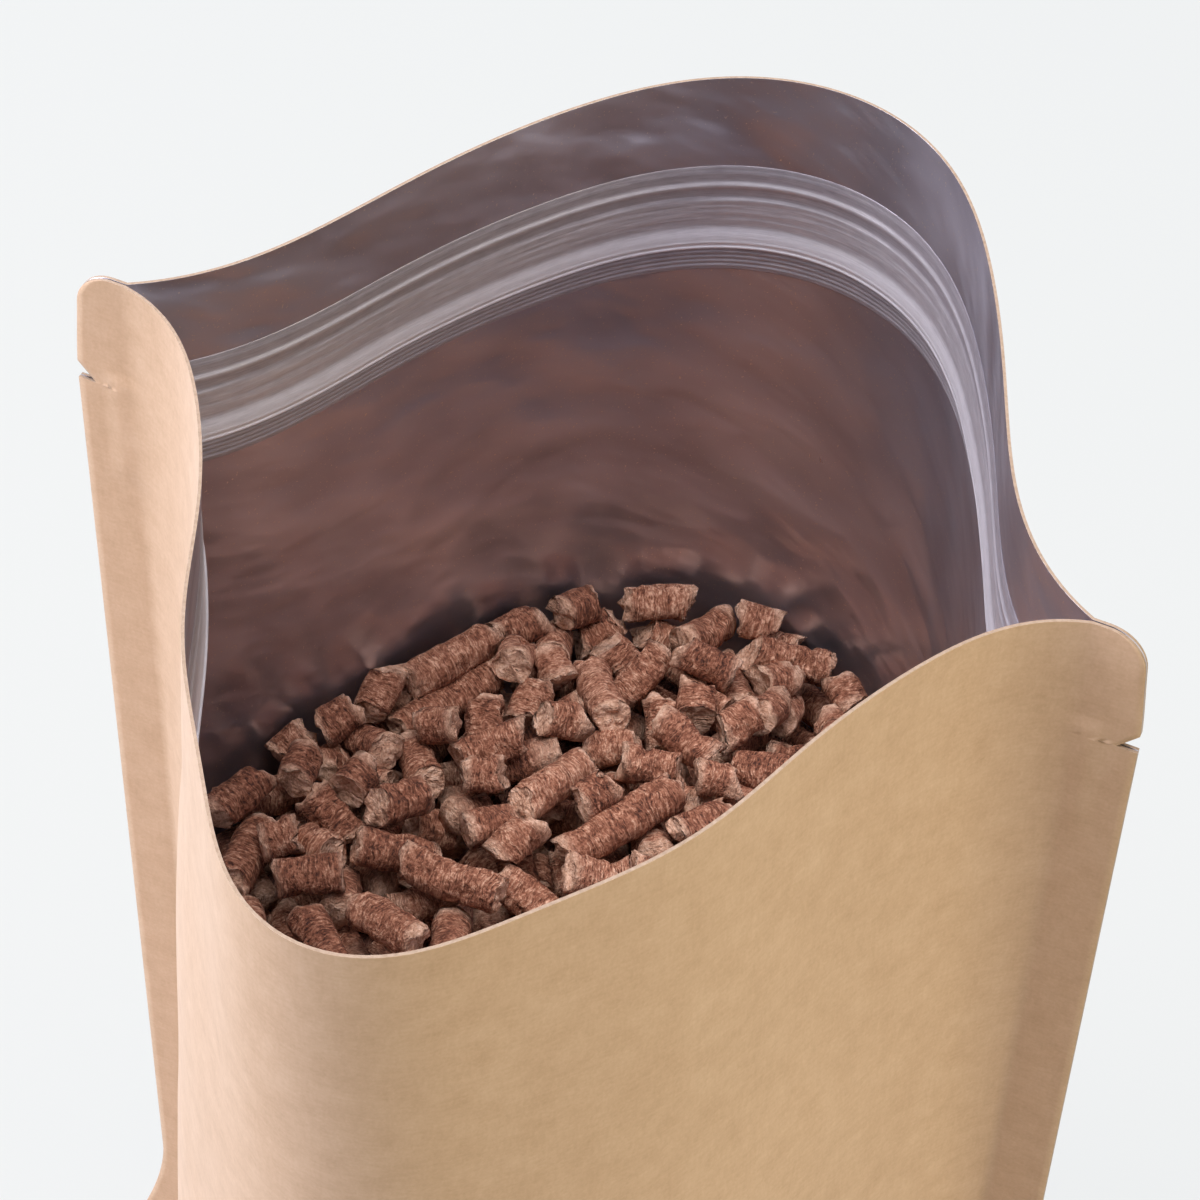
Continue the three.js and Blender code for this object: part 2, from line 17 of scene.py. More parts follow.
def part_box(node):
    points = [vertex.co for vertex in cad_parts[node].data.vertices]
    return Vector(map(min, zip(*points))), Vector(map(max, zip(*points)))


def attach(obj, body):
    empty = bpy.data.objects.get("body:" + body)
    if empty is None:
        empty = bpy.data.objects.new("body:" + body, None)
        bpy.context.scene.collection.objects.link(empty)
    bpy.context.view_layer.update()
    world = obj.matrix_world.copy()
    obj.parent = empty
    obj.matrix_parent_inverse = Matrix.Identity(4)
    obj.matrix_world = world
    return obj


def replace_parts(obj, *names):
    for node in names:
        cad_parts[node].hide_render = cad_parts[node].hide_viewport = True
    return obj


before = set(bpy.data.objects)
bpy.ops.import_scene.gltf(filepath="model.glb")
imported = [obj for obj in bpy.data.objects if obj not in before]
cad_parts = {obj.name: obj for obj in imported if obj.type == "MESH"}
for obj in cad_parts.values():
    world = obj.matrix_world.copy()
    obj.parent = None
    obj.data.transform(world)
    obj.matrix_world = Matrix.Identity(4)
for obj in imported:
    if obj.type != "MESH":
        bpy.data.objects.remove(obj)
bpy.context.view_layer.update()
MM = 0.001

# %% [markdown]
# ## Grids, meshes and grain
#
# Every piece here is a surface over two parameters: along the film and up the pouch, or along a
# pellet and around it. A grid of points and a table of its quads make the mesh in one step, which
# is far quicker than adding vertices one by one. Natural surfaces also need grain: smooth random
# values at a chosen scale. Value noise is enough here: random numbers on a lattice, blended.

# %% Quads between the points of a grid
def grid_quads(rows, columns, start=0, wrap=False):
    """Corner numbers of the quads between neighbouring points. wrap joins the last column to the
    first. Each quad is a point, the next one, and the same two in the row above."""
    i, j = np.meshgrid(np.arange(rows - 1), np.arange(columns if wrap else columns - 1), indexing="ij")
    k = (j + 1) % columns
    low, high = i * columns, (i + 1) * columns
    return np.stack([low + j, low + k, high + k, high + j], -1).reshape(-1, 4) + start


def grid_rim(rows, columns):
    """Corner numbers once round the outside of a grid, and the number that follows each."""
    rim = np.concatenate([
        np.arange(columns),
        np.arange(1, rows) * columns + columns - 1,
        (rows - 1) * columns + np.arange(columns - 2, -1, -1),
        np.arange(rows - 2, 0, -1) * columns,
    ])
    return rim, np.roll(rim, -1)


def signed_volume(points, quads):
    """A sixth of the sum of the corner products: positive where faces point outwards."""
    a, b, c, d = (points[quads[:, k]] for k in range(4))
    return float((np.cross(b - a, c - a) * a).sum() + (np.cross(c - a, d - a) * a).sum()) / 6


def outwards(points, quads):
    """The same faces, turned round where they point into the solid."""
    return quads if signed_volume(points, quads) >= 0 else quads[:, ::-1]


# %% A mesh object from points and faces
def make_piece(name, points, faces, materials, face_material=None, flat=None, values=None, uv=None):
    """One mesh object. faces is a list of arrays, one array for each number of corners. The other
    arrays hold one entry for each face or point: material, flat shading, named values and UV."""
    mesh = bpy.data.meshes.new(name)
    corners = np.concatenate([f.ravel() for f in faces])
    sizes = np.concatenate([np.full(len(f), f.shape[1]) for f in faces])
    mesh.vertices.add(len(points))
    mesh.vertices.foreach_set("co", np.asarray(points, np.float32).ravel())
    mesh.loops.add(len(corners))
    mesh.loops.foreach_set("vertex_index", corners.astype(np.int32))
    mesh.polygons.add(len(sizes))
    mesh.polygons.foreach_set("loop_start", (np.cumsum(sizes) - sizes).astype(np.int32))
    if face_material is not None:
        mesh.polygons.foreach_set("material_index", np.asarray(face_material, np.int32))
    smooth = np.ones(len(sizes), bool) if flat is None else ~np.asarray(flat, bool)
    mesh.polygons.foreach_set("use_smooth", smooth)
    for key, value in (values or {}).items():
        layer = mesh.attributes.new(key, "FLOAT", "POINT")
        layer.data.foreach_set("value", np.asarray(value, np.float32))
    if uv is not None:
        layer = mesh.uv_layers.new(name="UVMap")
        layer.data.foreach_set("uv", np.asarray(uv, np.float32)[corners].ravel())
    for material in materials:
        mesh.materials.append(material)
    mesh.update()
    mesh.validate()
    piece = bpy.data.objects.new(name, mesh)
    bpy.context.scene.collection.objects.link(piece)
    return piece


# %% Grain
def grain(points, scale, seed):
    """Smooth random values from -1 to 1: each corner of a lattice with that spacing gets a number
    from its place, and a point takes the blend of the eight corners around it."""
    spot = np.asarray(points) / scale + 1000.0
    cell = np.floor(spot).astype(np.int64)
    share = spot - cell
    share = share * share * (3 - 2 * share)
    total = 0.0
    for corner in np.ndindex(2, 2, 2):
        x, y, z = np.moveaxis(cell + corner, -1, 0)
        number = (x * 73856093) ^ (y * 19349663) ^ (z * 83492791) ^ (seed * 2654435761)
        number = (number ^ (number >> 13)) * 1274126177 & 0x7FFFFFFF
        value = (number ^ (number >> 16)) / 0x7FFFFFFF * 2 - 1
        total = total + value * np.prod(np.where(corner, share, 1 - share), axis=-1)
    return total


def fade(value, start, end):
    """0 below start and 1 above end, with a smooth step between."""
    share = np.clip((value - start) / (end - start), 0, 1)
    return share * share * (3 - 2 * share)


sample = grain(np.random.default_rng(1).random((999, 3)), 0.1, 1)
print("Grain from", round(float(sample.min()), 2), "to", round(float(sample.max()), 2))

# %% [markdown]
# ## How film bends
#
# Film bends but doesn't stretch. Every level of a panel keeps the same length between the side
# seals, and the distance between the seals decides how far the panel bows out. So a level is a
# curve given by its direction at each step: a cosine for a plain bow, a full sine wave for a bow
# that hugs the seals first, and quick ripples for the nose in the middle and the folds beside the
# seals. A skew bends both sides alike. Adding up the steps gives the points, and halving an
# interval again and again finds how much each level must turn to end at the other seal.

# %% Sizes of the film
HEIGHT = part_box("front_panel")[1].z
ARC = 216 * MM
SEAL = 8.4 * MM
FILM = 0.4 * MM
SEAT = 0.3 * MM
FOLD = 60 * MM
MOUTH_CHORD, BODY_CHORD, FOOT_CHORD = 128 * MM, 134 * MM, 184 * MM
FOOT_FLARE = 1.6
MOUTH_SHIFT = -7 * MM
FRONT, BACK = -1, 1
BODY_PINCH = 0.12
MOUTH_PINCH = {FRONT: 0.824, BACK: 0.612}
RIPPLES = {FRONT: {6: 0.126, 8: -0.046, 10: 0.064}, BACK: {6: 0.062}}
SKEW = {FRONT: -0.032, BACK: 0.036}
LEAN = {FRONT: 0.034, BACK: 0.05}
STEPS = 360
LEVELS = np.linspace(0, HEIGHT, 259)


# %% The bow of every level
def rise(z):
    """0 up to the gusset fold and 1 at the rim."""
    return np.clip((z - FOLD) / (HEIGHT - FOLD), 0, None)


def chord(z):
    """Distance between the seals: narrow above the gusset fold, flaring to the foot below it."""
    body = BODY_CHORD + (MOUTH_CHORD - BODY_CHORD) * rise(z)
    flare = BODY_CHORD + (FOOT_CHORD - BODY_CHORD) * np.clip(1 - z / FOLD, 0, 1) ** FOOT_FLARE
    return np.where(z < FOLD, flare, body)


def seal_x(turn, z):
    """Where the inner edge of a side seal lies. turn is -1 on the left and 1 on the right."""
    return MOUTH_SHIFT * rise(z) + turn * chord(z) / 2


def bow_table(side):
    """x, y and direction of the film at every level (rows) and step (columns). The sum of the steps,
    as a complex number, has the distance between the ends as its size, and its own direction is
    taken off every step, so that the bow ends level with its start."""
    up = rise(LEVELS)[:, None]
    pinch = BODY_PINCH + (MOUTH_PINCH[side] - BODY_PINCH) * up
    s = (np.arange(STEPS) + 0.5) / STEPS
    shape = (1 - pinch) * np.cos(np.pi * s) + pinch * np.sin(2 * np.pi * s)
    ripple = sum(size * np.sin(waves * np.pi * s) for waves, size in RIPPLES[side].items())
    shape = shape + up * (ripple + SKEW[side] * np.cos(2 * np.pi * s))
    low, high = np.zeros((len(LEVELS), 1)), np.full((len(LEVELS), 1), 2.2)
    for _ in range(36):
        turn = (low + high) / 2
        end = np.exp(1j * turn * shape).sum(1, keepdims=True) * ARC / STEPS
        wide = np.abs(end) > chord(LEVELS)[:, None]
        low, high = np.where(wide, turn, low), np.where(wide, high, turn)
    angle = low * shape - np.angle(end)
    start = np.zeros((len(LEVELS), 1))
    x = np.hstack([start, np.cumsum(ARC / STEPS * np.cos(angle), 1)])
    y = np.hstack([start, np.cumsum(ARC / STEPS * np.sin(angle), 1)])
    edge = np.hstack([angle[:, :1], (angle[:, 1:] + angle[:, :-1]) / 2, angle[:, -1:]])
    return x, y, edge


bows = {side: bow_table(side) for side in (FRONT, BACK)}


# %% Any point of a panel
def between(table, row, column):
    """Values of a table at fractional rows and columns, blended from the four around."""
    i = np.clip(row.astype(int), 0, table.shape[0] - 2)
    j = np.clip(column.astype(int), 0, table.shape[1] - 2)
    f, g = row - i, column - j
    lower = table[i, j] * (1 - g) + table[i, j + 1] * g
    upper = table[i + 1, j] * (1 - g) + table[i + 1, j + 1] * g
    return lower * (1 - f) + upper * f


def wall(side, along, z, inset):
    """Points on a panel, moved into the pouch by inset. along is the distance on the film from the
    left seal's inner edge: below 0 and past the bow's length the film runs straight, as a seal."""
    along, z, inset = np.broadcast_arrays(along, z, inset)
    onto = np.clip(along, 0, ARC)
    row, column = np.clip(z, 0, HEIGHT) / HEIGHT * (len(LEVELS) - 1), onto / ARC * STEPS
    x, y, angle = (between(table, row, column) for table in bows[side])
    sealed = along != onto
    angle = np.where(sealed, 0, angle)
    lean = LEAN[side] * rise(z)
    run = np.cos(angle) + lean * np.sin(angle)
    size = np.hypot(run, np.sin(angle))
    return np.stack([
        seal_x(-1, z) + x + lean * y + along - onto + inset * np.sin(angle) / size,
        side * (y + SEAT / 2) - side * inset * run / size,
        z,
    ], -1)


middle = wall(BACK, ARC / 2, HEIGHT, 0) - wall(FRONT, ARC / 2, HEIGHT, 0)
print("Mouth, front to back in mm:", round(float(middle[1]) / MM, 1))

# %% [markdown]
# ## Colours and finishes
#
# Kraft paper is matt and mottled: short fibres lie every way, some darker and some paler. The
# metallised inside is a dark mirror that has been scuffed soft, so it shows what lies near it as
# a blur. The strips are clear plastic over that dark film. The wood is ground, pressed through a
# die and broken off, so it has fine rings across it, pale fibres in it and dark gaps between them.
# Each finish is built from noise in the object's own coordinates, at the scale of the real detail.

# %% Helpers for shader nodes
class Finish:
    """A material whose nodes are added one by one, each linked as it is made."""

    def __init__(self, name):
        self.material = bpy.data.materials.new(name)
        self.material.use_nodes = True
        self.tree = self.material.node_tree
        self.shader = self.tree.nodes["Principled BSDF"]

    def node(self, kind, settings=None, **inputs):
        """A node with its settings, and its inputs set to a value or linked to another's output."""
        made = self.tree.nodes.new(kind)
        for key, value in (settings or {}).items():
            setattr(made, key, value)
        for key, value in inputs.items():
            socket = made.inputs[int(key[1:]) if key[1:].isdigit() else key.replace("_", " ")]
            self.feed(socket, value)
        return made

    def feed(self, socket, value):
        """Link a socket to another's output, or set it to a plain value."""
        if isinstance(value, bpy.types.NodeSocket):
            self.tree.links.new(value, socket)
        else:
            socket.default_value = value

    def set(self, **inputs):
        """Feed the shader's own inputs, named with _ for a space."""
        for key, value in inputs.items():
            self.feed(self.shader.inputs[key.replace("_", " ")], value)

    def noise(self, vector, scale, detail=3.0, roughness=0.55):
        """Smooth noise from 0 to 1. Scale is in features for each unit, and detail adds finer ones."""
        return self.node(
            "ShaderNodeTexNoise", Vector=vector, Scale=scale, Detail=detail, Roughness=roughness,
        ).outputs[0]

    def ramp(self, factor, *stops):
        """Colours at places from 0 to 1, blended between."""
        made = self.node("ShaderNodeValToRGB", Fac=factor)
        elements = made.color_ramp.elements
        for _ in stops[2:]:
            elements.new(0.5)
        for element, (place, colour) in zip(elements, stops):
            element.position = place
            element.color = (*colour, 1)
        return made.outputs[0]

    def mix(self, factor, first, second):
        """The first colour at factor 0, the second at 1, and a blend between."""
        made = self.node("ShaderNodeMix", {"data_type": "RGBA"}, _0=factor)
        self.feed(made.inputs[6], first if isinstance(first, bpy.types.NodeSocket) else (*first, 1))
        self.feed(made.inputs[7], second if isinstance(second, bpy.types.NodeSocket) else (*second, 1))
        return made.outputs[2]

    def sum(self, *terms):
        """Sum of value times weight over the terms."""
        total = 0.0
        for value, weight in terms:
            total = self.node(
                "ShaderNodeMath", {"operation": "MULTIPLY_ADD"}, _0=value, _1=weight, _2=total,
            ).outputs[0]
        return total

    def bump(self, height, distance, strength=1.0):
        """Relief in the shading alone, as deep as distance where height is 1."""
        made = self.node("ShaderNodeBump", Height=height, Distance=distance, Strength=strength)
        self.set(Normal=made.outputs[0])

    def stretched(self, vector, x, y, z):
        """A vector scaled by its own amount along each axis."""
        return self.node("ShaderNodeMapping", Vector=vector, Scale=(x, y, z)).outputs[0]

    def place(self):
        """The point's place in the object's own coordinates, in metres."""
        return self.node("ShaderNodeTexCoord").outputs["Object"]

    def value(self, name):
        """A value that the mesh carries for each point."""
        return self.node("ShaderNodeAttribute", {"attribute_name": name}).outputs["Fac"]


# %% Kraft paper
def kraft_finish():
    """Brown paper: soft mottling, fine grain, short fibres lying two ways, and their relief."""
    kraft = Finish("kraft_paper")
    place = kraft.place()
    mottle = kraft.noise(place, 230.0, 4.0)
    grains = kraft.noise(place, 2400.0, 2.0)
    level_fibre = kraft.noise(kraft.stretched(place, 420, 420, 1500), 1.0, 2.0)
    steep_fibre = kraft.noise(kraft.stretched(place, 1500, 1500, 420), 1.0, 2.0)
    tone = kraft.sum((mottle, 0.4), (grains, 0.24), (level_fibre, 0.2), (steep_fibre, 0.16))
    colour = kraft.ramp(
        tone, (0.3, (0.53, 0.342, 0.212)), (0.5, (0.62, 0.418, 0.277)), (0.7, (0.70, 0.493, 0.346)),
    )
    kraft.set(Base_Color=colour, Roughness=0.6, IOR=1.36, Sheen_Weight=0.14, Sheen_Roughness=0.45)
    kraft.bump(tone, 0.0001, 0.6)
    return kraft.material


# %% Metallised film
def lining_finish():
    """Scuffed mirror: low waves, slanting puckers, fine upright streaks, and specks of dust."""
    lining = Finish("metallised_lining")
    place = lining.place()
    waves = lining.noise(lining.stretched(place, 45, 45, 80), 1.0, 2.0, 0.4)
    slanted = lining.node("ShaderNodeMapping", Vector=place, Rotation=(0, math.radians(-30), 0))
    puckers = lining.noise(lining.stretched(slanted.outputs[0], 40, 60, 125), 1.0, 2.0, 0.4)
    streaks = lining.noise(lining.stretched(place, 900, 900, 60), 1.0, 2.0)
    dust = lining.noise(place, 2600.0, 1.0)
    specks = lining.ramp(dust, (0.70, (0, 0, 0)), (0.74, (1, 1, 1)))
    metal = lining.ramp(puckers, (0.34, (0.53, 0.50, 0.555)), (0.66, (0.675, 0.645, 0.705)))
    lining.set(Base_Color=lining.mix(specks, metal, (0.85, 0.75, 0.66)), Metallic=0.9)
    lining.set(Roughness=lining.sum((streaks, 0.03), (waves, 0.1), (1.0, 0.24)))
    lining.bump(lining.sum((waves, 0.7), (puckers, 0.8), (streaks, 0.002)), 0.0028, 0.6)
    return lining.material


# %% Cut edge of the film
def edge_finish():
    """Paper fibres cut across: mottled brown, with no gloss."""
    edge = Finish("cut_edge")
    tone = edge.noise(edge.place(), 1500.0)
    colour = edge.ramp(tone, (0.3, (0.30, 0.20, 0.13)), (0.7, (0.42, 0.30, 0.21)))
    edge.set(Base_Color=colour, Roughness=0.7)
    return edge.material


# %% Clear strip
def strip_finish():
    """Clear plastic over dark film: a grey gloss with drawn streaks along the strip. A value for each
    point follows how high the plastic stands: thin plastic shows the dark lining, and the ridges and
    the closure are painted pale grey, a painted highlight."""
    strip = Finish("clear_strip")
    flow = strip.node("ShaderNodeTexCoord").outputs["UV"]
    streaks = strip.noise(strip.stretched(flow, 1.6, 60, 1), 1.0, 4.0, 0.6)
    cloud = strip.noise(strip.stretched(flow, 4, 10, 1), 1.0, 2.0)
    # Painted highlight: the strip is painted paler where the plastic stands high.
    tone = strip.sum((streaks, 0.42), (cloud, 0.2), (strip.value("ridge_highlight"), 0.45))
    colour = strip.ramp(
        tone, (0.22, (0.34, 0.30, 0.325)), (0.44, (0.54, 0.495, 0.52)), (0.78, (0.86, 0.815, 0.84)),
    )
    strip.set(Base_Color=colour, Metallic=0.45, Roughness=0.34)
    strip.bump(streaks, 0.00005, 0.6)
    return strip.material


# %% Pressed wood
def wood_finish():
    """Ground wood from a die: fine broken rings across the pellet, fibres, dark pits, and pale torn
    ends. UV runs along the pellet (u) and around it (v), in pellet radii. The values tip and tone say
    how torn and how pale each point is, and a third value paints shade, near black where it is 1."""
    wood = Finish("pressed_wood")
    flow = wood.node("ShaderNodeTexCoord").outputs["UV"]
    place = wood.place()
    blotch = wood.noise(place, 420.0, 3.0)
    crumb = wood.noise(place, 1500.0, 3.0, 0.6)
    along, around, _ = wood.node("ShaderNodeSeparateXYZ", _0=flow).outputs
    slow, quick = wood.noise(place, 330.0, 2.0), wood.noise(place, 1300.0, 1.0)
    shifted = wood.sum((along, 1.0), (slow, 0.55), (quick, 0.1))
    bent = wood.node("ShaderNodeCombineXYZ", _0=shifted, _1=around).outputs[0]
    rings = wood.noise(wood.stretched(bent, 9.5, 0.6, 1), 1.0, 2.0, 0.6)
    fibre = wood.noise(wood.stretched(bent, 16, 3.2, 1), 1.0, 2.0, 0.6)
    tone = wood.sum(
        (rings, 0.38), (fibre, 0.2), (crumb, 0.3), (blotch, 0.24), (wood.value("tone"), 0.12),
    )
    body = wood.ramp(
        tone, (0.50, (0.055, 0.016, 0.0075)), (0.59, (0.24, 0.081, 0.04)),
        (0.66, (0.44, 0.192, 0.108)), (0.75, (0.80, 0.46, 0.30)),
    )
    torn = wood.ramp(
        wood.sum((crumb, 0.5), (blotch, 0.3), (fibre, 0.2)), (0.33, (0.22, 0.09, 0.05)),
        (0.46, (0.60, 0.325, 0.20)), (0.62, (0.90, 0.59, 0.41)),
    )
    # Painted shade: the wood is mixed towards near black by the shade value, which only the hidden lump
    # under the pellets has.
    with_painted_shade = wood.mix(wood.value("painted_shade"), wood.mix(wood.value("tip"), body, torn), (0.022, 0.02, 0.03))
    wood.set(Base_Color=with_painted_shade, Roughness=0.75)
    wood.shader.inputs["Specular IOR Level"].default_value = 0.35
    wood.bump(wood.sum((rings, 0.9), (fibre, 0.3), (crumb, 0.55), (blotch, 0.6)), 0.0007, 1.0)
    return wood.material


KRAFT, LINING, EDGE = kraft_finish(), lining_finish(), edge_finish()
STRIP, WOOD = strip_finish(), wood_finish()
print("Finishes:", ", ".join(m.name for m in (KRAFT, LINING, EDGE, STRIP, WOOD)))

# %% [markdown]
# ## The panels
#
# A panel is one sheet with a rounded top corner and a tear notch in each seal. A grid can follow
# such an outline if its outermost columns move in and out: at each level the seal's width is a
# formula, with rows where it changes quickly. The sheet's two faces are the same grid at two
# distances from the inner face, and a narrow band round the edge closes them.
# The film isn't perfect: it has long shallow waves, a soft crease in the back panel where it
# turns, the crushed ends of the strips in the side seals, and the step of the gusset's weld.

# %% Outline of a side seal
CORNER = 5 * MM
NOTCH_LEVEL = HEIGHT - 18.5 * MM
NOTCH_HEIGHT, NOTCH_DEPTH = 2.9 * MM, 2.7 * MM
TAPER = 1.2 * MM
HAIR = 0.01 * MM


def seal_width(z):
    """Full width, less a slight taper and a circular rounding at the top, and a wedge-shaped notch."""
    into = np.clip(z - (HEIGHT - CORNER), 0, CORNER)
    rounding = CORNER - np.sqrt(CORNER ** 2 - into ** 2)
    share = (z - NOTCH_LEVEL) / NOTCH_HEIGHT
    notch = np.where((share >= 0) & (share <= 1), NOTCH_DEPTH * (1 - share), 0)
    return SEAL - rounding - notch - TAPER * fade(z, NOTCH_LEVEL, HEIGHT)


corner_rows = HEIGHT - CORNER * (1 - np.sin(np.linspace(0, np.pi / 2, 12)))
notch_rows = NOTCH_LEVEL + np.array([-0.5, 0, 0.25, 0.5, 0.75, 1, 1.2]) * NOTCH_HEIGHT
film_rows = np.unique(np.concatenate([
    np.linspace(0, HEIGHT - CORNER, 150), corner_rows, notch_rows, [NOTCH_LEVEL - HAIR],
]))


# %% Unevenness of the film
SKIRT_WELD = 6 * MM
GUSSET_FLAT = 0.45
STRIP_TOP, STRIP_LOW = 15.2 * MM, 34 * MM
CREASE_TOP = (0.572, HEIGHT - STRIP_LOW)
CREASE_LOW = (0.66, 175 * MM)


def gusset_climb(s):
    """0 where the gusset lies flat in the middle, rising as a square to 1 at the seals."""
    return np.clip((np.abs(2 * s - 1) - GUSSET_FLAT) / (1 - GUSSET_FLAT), 0, 1) ** 2


def weld_top(s):
    """Height of the weld between gusset and panel: low in the middle, up to the fold at the seals."""
    return SKIRT_WELD + (FOLD - SKIRT_WELD) * gusset_climb(s)


def crease(side, s, z):
    """A soft crease in the back panel: a ridge that falls off like an exponential on both sides."""
    slope = (CREASE_LOW[0] - CREASE_TOP[0]) / (CREASE_LOW[1] - CREASE_TOP[1])
    away = np.abs(s - CREASE_TOP[0] - slope * (z - CREASE_TOP[1])) * ARC
    reach = fade(CREASE_TOP[1] + 4 * MM - z, 0, 16 * MM) * fade(z, 0.1, 0.15)
    return 0.9 * MM * np.exp(-away / (9 * MM)) * reach * (side == BACK)


def unevenness(side, along, z):
    """How far the film stands out from its smooth bow: waves that fade out at the seals and the
    rim, the crease, the crushed strip ends, and the step down into the gusset's weld."""
    s = along / ARC
    spot = np.stack([along, np.full_like(along, 0.3 * side), z], -1)
    calm = fade(s, 0.02, 0.2) * fade(1 - s, 0.02, 0.2) * fade(HEIGHT - z, 0, 40 * MM)
    waves = 0.5 * MM * grain(spot, 34 * MM, 3) + 0.16 * MM * grain(spot, 13 * MM, 4)
    nearest = np.minimum(along, ARC - along)
    drop = HEIGHT - z
    crushed = fade(nearest, -4.2 * MM, -3.2 * MM) * fade(-nearest, -3 * MM, 0.5 * MM)
    crushed = crushed * fade(drop, 15 * MM, 17.5 * MM) * fade(-drop, -35 * MM, -33 * MM)
    welded = fade(weld_top(np.clip(s, 0, 1)) - z, -0.4 * MM, 0.4 * MM) * (0.25 * MM)
    seal_step = fade(-nearest, -0.3 * MM, 0.5 * MM) * (0.06 * MM)
    return waves * calm + crease(side, s, z) + 0.35 * MM * crushed - welded * calm - seal_step


# %% Make the panels
def shell(name, inner, outer, slot_name):
    """A closed sheet from two grids of points: the lining's face, the paper's face and the cut
    edge. It rides with the pouch, and each face takes its own finish. The slot name is not used."""
    rows, columns = inner.shape[:2]
    count = rows * columns
    inner_faces = grid_quads(rows, columns)
    outer_faces = grid_quads(rows, columns, count)[:, ::-1]
    rim, after = grid_rim(rows, columns)
    edge_faces = np.stack([rim, rim + count, after + count, after], -1)
    points = np.concatenate([inner.reshape(-1, 3), outer.reshape(-1, 3)])
    faces = outwards(points, np.concatenate([inner_faces, outer_faces, edge_faces]))
    kinds = np.repeat([1, 0, 2], [len(inner_faces), len(outer_faces), len(edge_faces)])
    piece = make_piece(name, points, [faces], [KRAFT, LINING, EDGE], kinds, kinds == 2)
    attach(piece, "root")
    return piece


def make_panel(side, name):
    """One panel: the grid's columns are the left seal, the bow and the right seal."""
    z = film_rows[:, None]
    band = np.linspace(1, 0, 9)[None, :-1]
    bow = np.linspace(0, ARC, 145)[None, :]
    width = seal_width(z)
    along = np.hstack([-band * width, np.repeat(bow, len(z), 0), ARC + band[:, ::-1] * width])
    heights = np.repeat(z, along.shape[1], 1)
    lift = unevenness(side, along, heights)
    inner = wall(side, along, heights, -lift)
    outer = wall(side, along, heights, -lift - FILM)
    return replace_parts(shell(name, inner, outer, "kraft_film"), name.replace("film", "panel"))


panels = [make_panel(FRONT, "front_film"), make_panel(BACK, "back_film")]
print("Panel faces:", [len(p.data.polygons) for p in panels])

# %% [markdown]
# ## The gusset
#
# The foot is a third strip, folded up between the panels. It lies flat in the middle, climbs to
# its fold at the side seals, and turns down along both panels, where it is welded. One grid does
# it all: along the pouch, and down the front leg, across the deck and up the back leg.

# %% Make the gusset
WELD_GAP = 0.7 * MM
DECK_FLAT, DECK_END = 0.5, 0.88
FREE_END = 4 * MM


def fold_height(s, v):
    """Height of the gusset between the panels: v is -1 at the front wall and 1 at the back one."""
    to_wall = np.clip((np.abs(v) - DECK_FLAT) / (1 - DECK_FLAT), 0, 1) ** 2
    line = FOLD * gusset_climb(s) ** 1.5
    return line + (weld_top(s) - line) * to_wall


def inside(s, v, z, inset):
    """A point on the straight line from the front wall to the back wall at one place of both bows."""
    front, back = wall(FRONT, s * ARC, z, inset), wall(BACK, s * ARC, z, inset)
    return front + (back - front) * ((v + 1) / 2)[..., None]


def gusset_face(inset, lift):
    """One face of the gusset, from the foot of the front leg over the deck to the back leg's foot."""
    s = np.linspace(FREE_END / ARC, 1 - FREE_END / ARC, 121)[:, None]
    down = np.linspace(0, 1, 12)[None, :]
    v = np.linspace(-DECK_END, DECK_END, 61)[None, :]
    leg = down * (weld_top(s) + np.where(down == 1, lift, 0))
    front = inside(s, np.full_like(leg, -1), leg, inset)
    back = inside(s, np.full_like(leg, 1), leg, inset)
    deck = inside(s, np.repeat(v, len(s), 0), fold_height(s, v) + lift, WELD_GAP)
    return np.concatenate([front, deck, back[:, ::-1]], 1)


gusset_faces = gusset_face(WELD_GAP, FILM), gusset_face(WELD_GAP + FILM, 0)
gusset = shell("gusset_film", *gusset_faces, "kraft_film")
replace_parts(gusset, "bottom_gusset")
print("Gusset lowest point in mm:", round(min(v.co.z for v in gusset.data.vertices) / MM, 3))

# %% [markdown]
# ## The press-to-close strips
#
# A strip is a band of clear plastic with everything drawn along it: a fine line and a guide ridge
# near its top, a broad band with streaks, the closure, and a row of fine ribs below. The closure
# is a channel with two lips on the back panel and one tongue on the front panel. So the strip is
# a height profile across its width, laid on the film and carried along the bow.

# %% Height profiles
BASE = 0.25 * MM
RIBS = [30.7, 31.5, 32.3, 33.1]
RAISED_END = 0.9 * MM


def ridge(drop, centre, width, height, power=4):
    """A round ridge along the strip: a bell curve across it, flatter on top for a higher power.
    The places and sizes are in mm."""
    return height * MM * np.exp(-(((drop / MM - centre) / (width / 2)) ** power))


def strip_profile(drop, along, side):
    """Height of the strip above the film at a drop below the rim: the base, the streaky band, the
    guide ridge, the closure with its long upper slope and steep lower side, and the ribs."""
    swell = 0.2 * MM * fade(drop, 20.2 * MM, 21.2 * MM) * fade(-drop, -26.0 * MM, -24.4 * MM)
    spot = np.stack([along / 14, np.full_like(along, side * 0.2), drop], -1)
    streaks = grain(spot, 0.75 * MM, 8) * 0.5 + grain(spot, 0.3 * MM, 9) * 0.3
    height = BASE * fade(drop, 14.6 * MM, 17.2 * MM) + swell * (1 + 0.6 * streaks)
    height = height + ridge(drop, 16.3, 0.7, 0.03) + ridge(drop, 18.4, 1.1, 0.27, 2)
    closure = fade(drop, 24.4 * MM, 28.4 * MM) * fade(-drop, -30.0 * MM, -29.2 * MM)
    height = height + 0.75 * MM * closure
    height = height + sum(ridge(drop, rib, 0.45, 0.09) for rib in RIBS)
    if side == BACK:
        return height + ridge(drop, 28.3, 0.5, 0.06) + ridge(drop, 29.2, 0.6, 0.12)
    return height + ridge(drop, 28.8, 1.0, 0.35)


